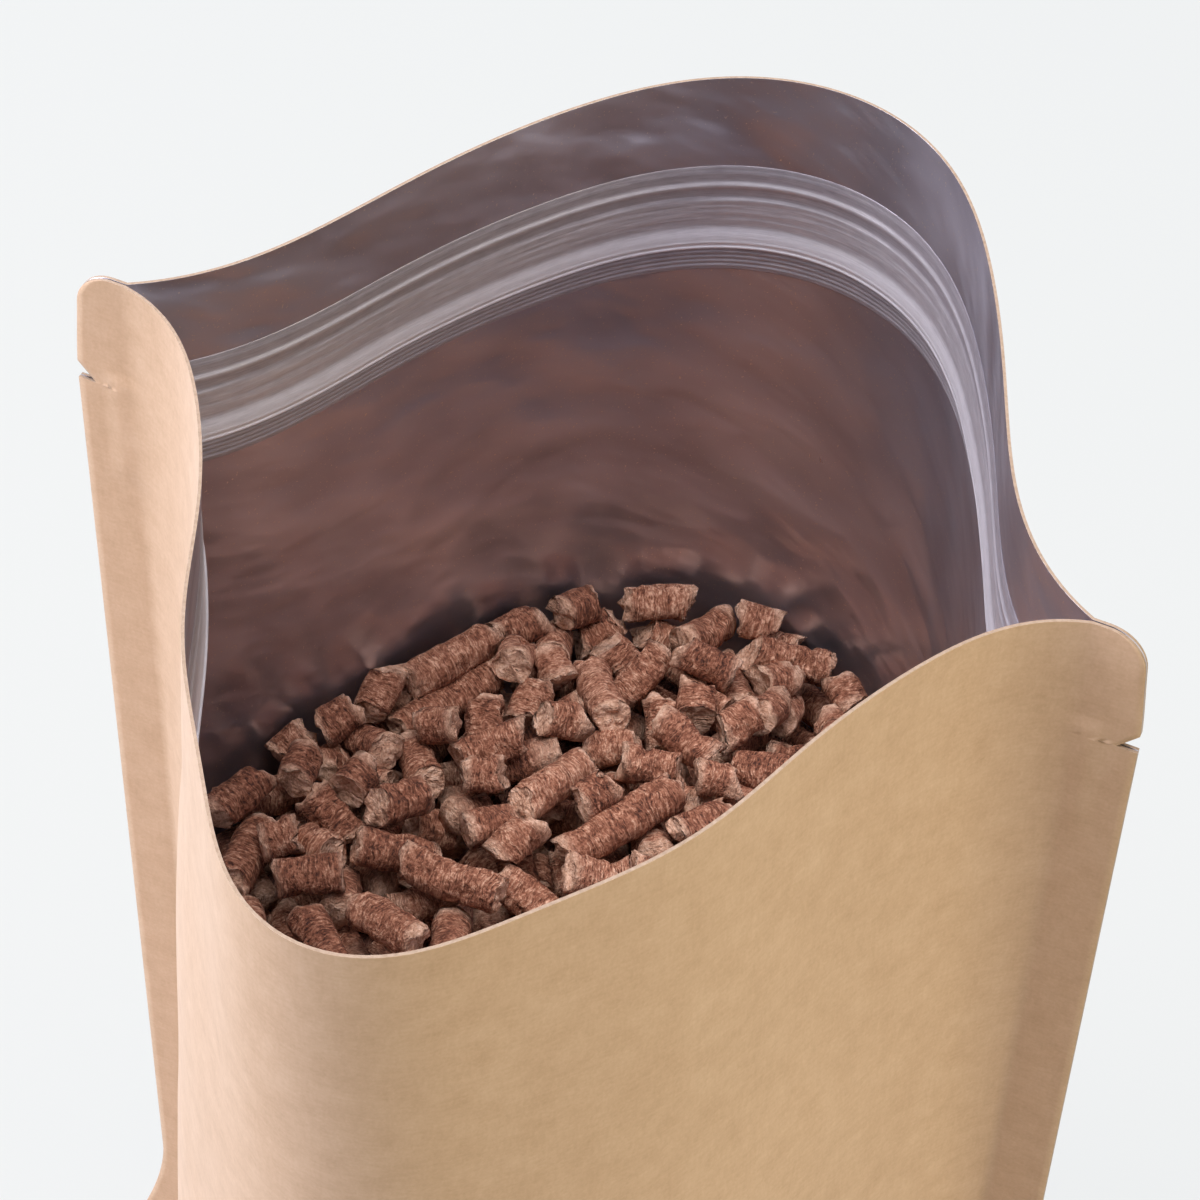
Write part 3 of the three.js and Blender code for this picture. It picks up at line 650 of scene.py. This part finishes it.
# %% Make the strips
def make_strip(side, name, node):
    """One strip: its profile laid on the film, and a flat foot under it. The back strip's left end
    rises a little, as the film was pulled there."""
    along = np.linspace(FREE_END, ARC - FREE_END, 115)[None, :]
    drop = np.linspace(STRIP_TOP, STRIP_LOW, 180)[:, None]
    along, drop = np.broadcast_arrays(along, drop)
    raised = RAISED_END * (side == BACK) * fade(-along, -ARC / 2, 0)
    from_top, from_low = drop - STRIP_TOP, STRIP_LOW - drop
    soft_edge = fade(from_top, 0, 0.3 * MM) * fade(from_low, 0, 0.3 * MM)
    top = strip_profile(drop, along, side) * (0.15 + 0.85 * soft_edge)
    z = HEIGHT - drop + raised
    lift = unevenness(side, along, z)
    face = wall(side, along, z, 0.03 * MM + top - lift)
    foot = wall(side, along, z, 0.02 * MM - lift)
    rows, columns = along.shape
    grid = grid_quads(rows, columns)
    count = rows * columns
    rim, after = grid_rim(rows, columns)
    walls = np.stack([rim, rim + count, after + count, after], -1)
    points = np.concatenate([face.reshape(-1, 3), foot.reshape(-1, 3)])
    faces = outwards(points, np.concatenate([grid, grid[:, ::-1] + count, walls]))
    flow = np.stack([along, drop], -1).reshape(-1, 2) / (10 * MM)
    # Painted highlight: 0 on flat plastic and 1 where the strip stands highest, which paints it pale
    # there.
    ridge_highlight = np.tile(fade(top, 0.15 * MM, 0.8 * MM).ravel(), 2)
    uv = np.concatenate([flow, flow])
    piece = make_piece(name, points, [faces], [STRIP], values={"ridge_highlight": ridge_highlight}, uv=uv)
    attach(piece, "root")
    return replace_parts(piece, node)


strips = [
    make_strip(FRONT, "tongue_strip", "zip_strip_front"),
    make_strip(BACK, "channel_strip", "zip_strip_back"),
]
print("Strip faces:", [len(p.data.polygons) for p in strips])

# %% [markdown]
# ## The pellets
#
# A pellet is ground wood pressed through a round die and broken off. Its side is nearly a
# cylinder, a little bent and dented. Its ends are torn: the skin stands up in a ragged crown
# round a rough, slanting face. In the model each loose pellet is a plain solid, so its place,
# direction and length are read from that solid's faces: the direction is the one that the side
# faces, which have most of the area, all face away from.

# %% Read the loose pellets
PELLET_RADIUS = 3.0 * MM


def pellet_of(node):
    """Middle, direction and length of a CAD pellet. The direction is the eigenvector that the
    area-weighted face normals cover least."""
    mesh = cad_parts[node].data
    corners = np.zeros(len(mesh.vertices) * 3)
    mesh.vertices.foreach_get("co", corners)
    corners = corners.reshape(-1, 3)
    normals, areas = np.zeros(len(mesh.polygons) * 3), np.zeros(len(mesh.polygons))
    mesh.polygons.foreach_get("normal", normals)
    mesh.polygons.foreach_get("area", areas)
    normals = normals.reshape(-1, 3)
    values, vectors = np.linalg.eigh((normals * areas[:, None]).T @ normals)
    spread = corners @ vectors
    middle = vectors @ ((spread.max(0) + spread.min(0)) / 2)
    return middle, vectors[:, 0], np.ptp(spread[:, 0])


loose_nodes = sorted(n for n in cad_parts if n.startswith("litter_pellet"))
loose = [pellet_of(n) for n in loose_nodes]
print("Loose pellets:", len(loose), "lengths in mm:", [round(p[2] / MM, 1) for p in loose[:6]])

# %% [markdown]
# Between and under the loose pellets lie all the others. They are filled in by letting rods down
# at random places until they touch what is already there, from a layer inside the bed upwards.
# The distance between two rods is the distance between their middle lines, less both radii. A
# middle line stops short of the pellet's round end, and dented pellets rest a little closer than
# two radii.

# %% Fill the bed
BED_LEVEL, BED_SLOPE, BED_CROWN = 0.578 * HEIGHT, 0.07, 5 * MM
PACKED_DEPTH = 11 * MM
HIGHEST_LIFT = 9.5 * MM
ROUND_END = 0.6 * PELLET_RADIUS
RESTING, CLEAR = 1.88 * PELLET_RADIUS, 1.8 * PELLET_RADIUS
FIRST_SHARE = 0.65
rng = np.random.default_rng(7)


def bed_height(x, y):
    """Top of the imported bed: crowned in the middle and falling to the right."""
    return BED_LEVEL - BED_SLOPE * x + BED_CROWN * (1 - (x * x + y * y) / (BODY_CHORD / 2) ** 2)


def rod_gaps(middle, axis, half, others):
    """Distances from one rod's middle line to those of many others, each (middle, axis, half)."""
    middles, axes, halves = others
    apart = middle - middles
    slant = axes @ axis
    on_rod, on_others = apart @ axis, (apart * axes).sum(1)
    spare = np.maximum(1e-9, 1 - slant ** 2)
    s = np.clip((slant * on_others - on_rod) / spare, -half, half)
    t = np.clip(slant * s + on_others, -halves, halves)
    s = np.clip(slant * t - on_rod, -half, half)
    return np.linalg.norm(apart + s[:, None] * axis - t[:, None] * axes, axis=1)


rim_s = np.linspace(0, 1, 60)
wall_line = np.concatenate([
    wall(FRONT, rim_s * ARC, BED_LEVEL, 0)[:, :2], wall(BACK, rim_s[::-1] * ARC, BED_LEVEL, 0)[:, :2],
])


def room_to_wall(points):
    """Distance in plan from each point to the pouch's wall, negative outside it."""
    a, b = wall_line, np.roll(wall_line, -1, 0)
    along = b - a
    offset = points[:, None] - a[None]
    share = np.clip((offset * along).sum(2) / np.maximum((along ** 2).sum(1), 1e-12), 0, 1)
    nearest = np.linalg.norm(offset - share[..., None] * along, axis=2).min(1)
    above = (a[:, 1] > points[:, 1:]) != (b[:, 1] > points[:, 1:])
    rate = (points[:, 1:] - a[:, 1]) / np.where(along[:, 1] == 0, 1e-12, along[:, 1])
    inside_line = (above & (points[:, :1] < a[:, 0] + rate * along[:, 0])).sum(1) % 2 == 1
    return np.where(inside_line, nearest, -nearest)


def let_down(x, y, axis, half, placed):
    """Height at which a rod let down at a place comes to rest on the floor of the fill or on the
    rods placed before: it moves down by the room that is left, until hardly any is."""
    floor = bed_height(x, y) - PACKED_DEPTH
    z = floor + PACKED_DEPTH + 12 * MM
    for _ in range(24):
        room = z - abs(axis[2]) * half - floor - PELLET_RADIUS
        if len(placed[0]):
            gaps = rod_gaps(np.array([x, y, z]), axis, half, placed)
            room = min(room, gaps.min() - RESTING)
        if room < 0.05 * MM:
            break
        z -= room
    return z


def random_place(half):
    """A random direction and place in plan: four in ten anywhere, the others along the wall."""
    turn, tilt = np.pi * rng.random(), 0.5 * (2 * rng.random() - 1)
    x, y = wall_line.min(0) + np.ptp(wall_line, 0) * rng.random(2)
    if rng.random() < 0.6:
        k = rng.integers(len(wall_line))
        along = wall_line[(k + 3) % len(wall_line)] - wall_line[k - 3]
        turn = np.arctan2(along[1], along[0]) + 0.3 * (2 * rng.random() - 1)
        inward = np.array([-along[1], along[0]]) / np.linalg.norm(along)
        away = PELLET_RADIUS * (1.2 + 1.6 * rng.random()) + 0.1 * half
        x, y = wall_line[k] + inward * away
    axis = np.array([np.cos(turn) * np.cos(tilt), np.sin(turn) * np.cos(tilt), np.sin(tilt)])
    return x, y, axis


def fill_bed(count, tries):
    """Rods let down one by one. Each takes the lowest of several random places where it stays off
    the walls and the loose pellets, and the fill ends where no low enough place is found. The
    first ones go under the loose pellets, and the last ones may also rest on them."""
    fixed = tuple(np.array(c) for c in zip(*[(m, a, n / 2 - ROUND_END) for m, a, n in loose]))
    placed = (np.zeros((0, 3)), np.zeros((0, 3)), np.zeros(0))
    for number in range(count):
        longest = 14 * (1 - 0.75 * number / count)
        half = (5 + longest * rng.random() ** 1.7) / 2 * MM - ROUND_END
        best = None
        for _ in range(tries):
            x, y, axis = random_place(half)
            ends = np.array([x, y]) + np.outer([-half, half], axis[:2])
            if room_to_wall(ends).min() < PELLET_RADIUS + 0.4 * MM:
                continue
            under = placed
            if number >= FIRST_SHARE * count:
                under = [np.concatenate(c) for c in zip(placed, fixed)]
            middle = np.array([x, y, let_down(x, y, axis, half, under)])
            lift = middle[2] - bed_height(x, y)
            clear = rod_gaps(middle, axis, half, fixed).min() > CLEAR
            if clear and lift < HIGHEST_LIFT and (best is None or lift < best[0]):
                best = (lift, middle, axis)
        if best is not None:
            middles, axes, halves = placed
            placed = np.vstack([middles, best[1]]), np.vstack([axes, best[2]]), np.append(halves, half)
    return placed


bed_rods = list(zip(*fill_bed(1000, 20)))


def open_to_view():
    """True for each filled-in rod that nothing covers at three or more of seven points along it. A
    point is covered where another rod passes above it, closer in plan than a radius."""
    rods = [(m, a, n / 2 - ROUND_END) for m, a, n in loose] + bed_rods
    middles, axes, halves = (np.array(c) for c in zip(*rods))
    points = middles[:, None] + axes[:, None] * np.outer(halves, np.linspace(-1, 1, 7))[..., None]
    shown = []
    for number in range(len(loose), len(rods)):
        apart = points[number][:, None, None] - np.delete(points, number, 0)[None]
        over = (np.hypot(apart[..., 0], apart[..., 1]) < PELLET_RADIUS) & (apart[..., 2] < 0)
        shown.append((~over.any((1, 2))).sum() >= 3)
    return np.array(shown)


shown_rods = open_to_view()
print("Pellets filled in:", len(bed_rods), "open to view:", int(shown_rods.sum()))

# %% [markdown]
# The surface of a pellet is a grid of rings. Rings on the side carry small dents, and the ragged
# crown pulls the last ones along. Rings on the end shrink to a point across the torn face.

# %% Surface of a pellet
def pellet_surface(middle, axis, length, body_rings, around, seed):
    """Points, faces, UV and values of one pellet. Along the side the radius is the die's radius
    times 1 plus grain. At each end the crown's height is a rectified sum of waves round the
    rim, and the torn face is a slanted disc with grain, sunk below the crown."""
    draw = np.random.default_rng(seed)
    theta = np.linspace(0, 2 * np.pi, around, endpoint=False)
    cap_rings = max(1, body_rings // 5)
    cap = np.ones(cap_rings)
    t = np.concatenate([-cap, np.linspace(-1, 1, body_rings), cap])
    edge = np.linspace(0.12, 0.93, cap_rings)
    rho = np.concatenate([edge, np.ones(body_rings), edge[::-1]])
    end = np.sign(t)
    on_face = (rho < 1)[:, None]

    crown = np.zeros((2, around))
    slope = np.zeros((2, around))
    for k in range(2):
        for wave in range(2, 7):
            crown[k] += draw.normal() * np.sin(wave * theta + 6.3 * draw.random()) / wave ** 0.6
        crown[k] = np.clip(crown[k], -0.4, 1.9) * (0.2 + 0.9 * draw.random()) * 0.6 * MM
        slope[k] = np.cos(theta - 6.3 * draw.random()) * draw.uniform(0.05, 0.55) * PELLET_RADIUS
    pick = (end > 0).astype(int)
    near_end = np.abs(t)[:, None] ** 10
    face_drop = on_face * draw.uniform(-0.55, 0.4) * MM * fade(1 - rho[:, None], 0.0, 0.5)
    stretch = (crown[pick] * fade(rho[:, None], 0.7, 1.0) + slope[pick] * rho[:, None]) * near_end

    local = np.stack([
        np.outer(rho, np.cos(theta)), np.outer(rho, np.sin(theta)), np.repeat(t[:, None], around, 1),
    ], -1)
    spot = local * [1, 1, length / 2 / PELLET_RADIUS] * PELLET_RADIUS + seed * 0.013
    dents = grain(spot, 3.8 * MM, 21) * 0.12 + grain(spot, 1.3 * MM, 22) * 0.065
    dents = dents + grain(spot, 0.6 * MM, 26) * 0.025
    flakes = np.clip(grain(spot, 1.8 * MM, 23) - 0.3, 0, 1) * -0.55
    radius = PELLET_RADIUS * draw.uniform(0.95, 1.02) * (1 + dents + flakes)
    torn = grain(spot, 0.8 * MM, 24) * 0.5 * MM + grain(spot, 2.0 * MM, 25) * 1.0 * MM
    height = local[..., 2] * length / 2 * 0.96 + end[:, None] * (stretch - face_drop) + on_face * torn
    bend = draw.normal() * 0.05 / (10 * MM) * (height ** 2 - length ** 2 / 12)

    side_a = np.cross(axis, [0.0, 0.0, 1.0])
    side_a /= np.linalg.norm(side_a)
    side_b = np.cross(axis, side_a)
    points = (
        middle + (local[..., 0] * radius + bend)[..., None] * side_a
        + (local[..., 1] * radius)[..., None] * side_b + height[..., None] * axis
    )
    rings = len(t)
    poles = [points[0].mean(0), points[-1].mean(0)]
    quads = grid_quads(rings, around, wrap=True)
    first, ring = rings * around, np.arange(around)
    fan_low = np.stack([np.full(around, first), np.roll(ring, -1), ring], -1)
    fan_high = np.stack([np.full(around, first + 1), ring, np.roll(ring, -1)], -1)
    fan_high[:, 1:] += (rings - 1) * around
    run = height / PELLET_RADIUS + seed * 3.7
    turn = np.broadcast_to(np.sin(theta / 2) * 6 * rho[:, None], height.shape)
    uv = np.stack([run, turn], -1).reshape(-1, 2)
    near_tip = np.abs(height) + 0.5 * torn
    tip = np.clip(on_face + fade(near_tip, length / 2 - 1.0 * MM, length / 2 + 0.4 * MM), 0, 1)
    return {
        "points": np.concatenate([points.reshape(-1, 3), poles]),
        "quads": quads,
        "fans": np.concatenate([fan_low, fan_high]),
        "uv": np.concatenate([uv, uv[[0, -1]]]),
        "tip": np.append(tip.reshape(-1), [1, 1]),
        "tone": np.full(rings * around + 2, draw.uniform(0.25, 0.75)),
        # No painted shade on a pellet.
        "painted_shade": np.zeros(rings * around + 2),
    }


PELLET_VALUES = ("tip", "tone", "painted_shade")


def merge(surfaces):
    """Several surfaces as one, with each one's corner numbers moved past the ones before it."""
    starts = np.cumsum([0] + [len(s["points"]) for s in surfaces[:-1]])
    joined = {k: np.concatenate([s[k] for s in surfaces]) for k in ("points", "uv", *PELLET_VALUES)}
    for key in ("quads", "fans"):
        joined[key] = np.concatenate([s[key] + start for s, start in zip(surfaces, starts)])
    return joined


def wood_piece(name, surface):
    """A piece of pressed wood from a surface's points, faces and values."""
    faces = [surface["quads"], surface["fans"]]
    values = {k: surface[k] for k in PELLET_VALUES}
    piece = make_piece(name, surface["points"], faces, [WOOD], values=values, uv=surface["uv"])
    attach(piece, "root")
    return piece


# %% Make the loose pellets
for number, (node, (middle, axis, length)) in enumerate(zip(loose_nodes, loose)):
    surface = pellet_surface(middle, axis, length, 30, 32, 100 + number)
    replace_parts(wood_piece(node.replace("litter_pellet", "pellet"), surface), node)
print("Faces of one pellet:", len(surface["quads"]) + len(surface["fans"]))


# %% Make the bed
def bed_body():
    """The part of the bed that nothing shows: a closed lump of litter from the gusset up to well
    below the pellets, worked out on a grid between the panels."""
    s = np.linspace(0.06, 0.94, 60)[:, None]
    v = np.linspace(-1, 1, 40)[None, :]
    inset = 1.9 * MM
    floor = inside(s, np.repeat(v, len(s), 0), fold_height(s, v) + FILM + SEAT, inset)
    level = inside(s, np.repeat(v, len(s), 0), np.full((len(s), v.shape[1]), BED_LEVEL), inset)
    top_z = bed_height(level[..., 0], level[..., 1]) - PACKED_DEPTH
    top_z = top_z + 1.2 * MM * grain(level, 5 * MM, 31)
    layers = [inside(s, np.repeat(v, len(s), 0), floor[..., 2] + (top_z - floor[..., 2]) * h, inset)
              for h in np.linspace(0, 1, 8)]
    rows, columns = top_z.shape
    rim, after = grid_rim(rows, columns)
    count = rows * columns
    faces = [grid_quads(rows, columns)[:, ::-1], grid_quads(rows, columns, (len(layers) - 1) * count)]
    for k in range(len(layers) - 1):
        faces.append(np.stack([rim, rim + count, after + count, after], -1)[:, ::-1] + k * count)
    points = np.concatenate([p.reshape(-1, 3) for p in layers])
    size = len(points)
    return {
        "points": points, "quads": outwards(points, np.concatenate(faces)),
        "fans": np.zeros((0, 3), int),
        "uv": points[:, :2] / PELLET_RADIUS, "tip": np.zeros(size), "tone": np.full(size, 0.2),
        # Painted shade: the hidden lump is mixed three tenths of the way to near black, as the shade
        # between the pellets.
        "painted_shade": np.full(size, 0.3),
    }


surfaces = [bed_body()]
for number, (middle, axis, half) in enumerate(bed_rods):
    rings, around = (14, 20) if shown_rods[number] else (4, 8)
    length = 2 * (half + ROUND_END)
    surfaces.append(pellet_surface(middle, axis, length, rings, around, 400 + number))
bed = wood_piece("packed_litter", merge(surfaces))
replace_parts(bed, "litter_bed")
print("Bed faces:", len(bed.data.polygons))

# %% [markdown]
# ## Stage, light and camera
#
# The floor and the background are plain and pale. The background's white belongs to what the
# camera and reflections see, so it adds no light. The light comes from broad soft lamps: one
# from above, one from the left, and two weaker ones that fill in from the right and from behind.

# %% Background and floor
FLOOR_RADIUS, FLOOR_CORNERS = 2.2, 96
PLAIN_SHARE = 0.8


def make_world():
    """Two plain backgrounds: a dim one that lights the scene, and a pale one that is only seen."""
    world = bpy.data.worlds.new("soft_white")
    world.use_nodes = True
    tree = world.node_tree
    tree.nodes.clear()
    path = tree.nodes.new("ShaderNodeLightPath")
    seen = path.outputs["Is Camera Ray"]
    for kind in ("Is Glossy Ray", "Is Transmission Ray"):
        either = tree.nodes.new("ShaderNodeMath")
        either.operation = "MAXIMUM"
        tree.links.new(seen, either.inputs[0])
        tree.links.new(path.outputs[kind], either.inputs[1])
        seen = either.outputs[0]
    light, shown = (tree.nodes.new("ShaderNodeBackground") for _ in range(2))
    light.inputs[0].default_value = (1.0, 0.98, 0.95, 1)
    light.inputs[1].default_value = 0.12
    shown.inputs[0].default_value = (0.872, 0.895, 0.91, 1)
    shown.inputs[1].default_value = 1.0
    mix, out = tree.nodes.new("ShaderNodeMixShader"), tree.nodes.new("ShaderNodeOutputWorld")
    tree.links.new(seen, mix.inputs[0])
    tree.links.new(light.outputs[0], mix.inputs[1])
    tree.links.new(shown.outputs[0], mix.inputs[2])
    tree.links.new(mix.outputs[0], out.inputs[0])
    bpy.context.scene.world = world


def make_floor():
    """A pale disc under the pouch. Four fifths of what the camera and reflections see of it is
    its own plain colour, and the rest is lit."""
    ring = np.linspace(0, 2 * np.pi, FLOOR_CORNERS, endpoint=False)
    points = np.stack([np.cos(ring), np.sin(ring), np.zeros(FLOOR_CORNERS)], -1) * FLOOR_RADIUS
    finish = Finish("pale_floor")
    finish.set(Base_Color=(0.46, 0.41, 0.32, 1), Roughness=0.9)
    glow = finish.node("ShaderNodeEmission", Color=(0.925, 0.96, 0.99, 1), Strength=1.0)
    path = finish.node("ShaderNodeLightPath")
    rays = [path.outputs[f"Is {kind} Ray"] for kind in ("Camera", "Glossy", "Transmission")]
    seen = finish.sum(*((ray, PLAIN_SHARE) for ray in rays))
    mix = finish.node("ShaderNodeMixShader", _0=seen)
    finish.tree.links.new(finish.shader.outputs[0], mix.inputs[1])
    finish.tree.links.new(glow.outputs[0], mix.inputs[2])
    finish.tree.links.new(mix.outputs[0], finish.tree.nodes["Material Output"].inputs[0])
    floor = make_piece("floor", points, [np.arange(FLOOR_CORNERS)[None, :]], [finish.material])


make_world()
make_floor()


# %% Lights
def softbox(name, place, aim, size, power, colour):
    """A square area light at a place, turned towards a point."""
    lamp = bpy.data.lights.new(name, "AREA")
    lamp.energy, lamp.color, lamp.size = power, colour, size
    light = bpy.data.objects.new(name, lamp)
    light.location = place
    light.rotation_euler = (Vector(aim) - Vector(place)).to_track_quat("-Z", "Y").to_euler()
    bpy.context.scene.collection.objects.link(light)


MIDDLE = (0, 0, 0.2)
softbox("window", (-1.15, -0.58, 0.75), MIDDLE, 1.0, 18.6, (0.97, 0.99, 1.12))
softbox("sky", (-0.15, -0.1, 1.5), MIDDLE, 1.1, 24.5, (0.99, 1.0, 1.1))
softbox("pale_wall", (1.3, 0.1, 0.55), MIDDLE, 1.0, 10.3, (1.0, 0.92, 0.58))
softbox("far_window", (-1.0, 0.6, 0.9), MIDDLE, 0.8, 4.5, (0.85, 1.0, 1.4))

# %% Camera
PHOTO = 1200
FOCUS = 3010
camera_data = bpy.data.cameras.new("camera")
camera_data.sensor_width = 36
camera_data.lens = FOCUS / PHOTO * camera_data.sensor_width
camera = bpy.data.objects.new("camera", camera_data)
bpy.context.scene.collection.objects.link(camera)
right, up = Vector((0.9145, 0.4000, 0.0609)), Vector((-0.3290, 0.6474, 0.6875))
right.normalize()
up = (up - right * up.dot(right)).normalized()
look = Matrix((right, up, right.cross(up))).transposed().to_4x4()
camera.matrix_world = Matrix.Translation(Vector((86.39, -248.62, 509.58)) * MM) @ look
camera_data.clip_start, camera_data.clip_end = 0.01, 20
bpy.context.scene.camera = camera
bpy.context.scene.view_settings.view_transform = "Standard"
print("Lens in mm:", round(camera_data.lens, 1))
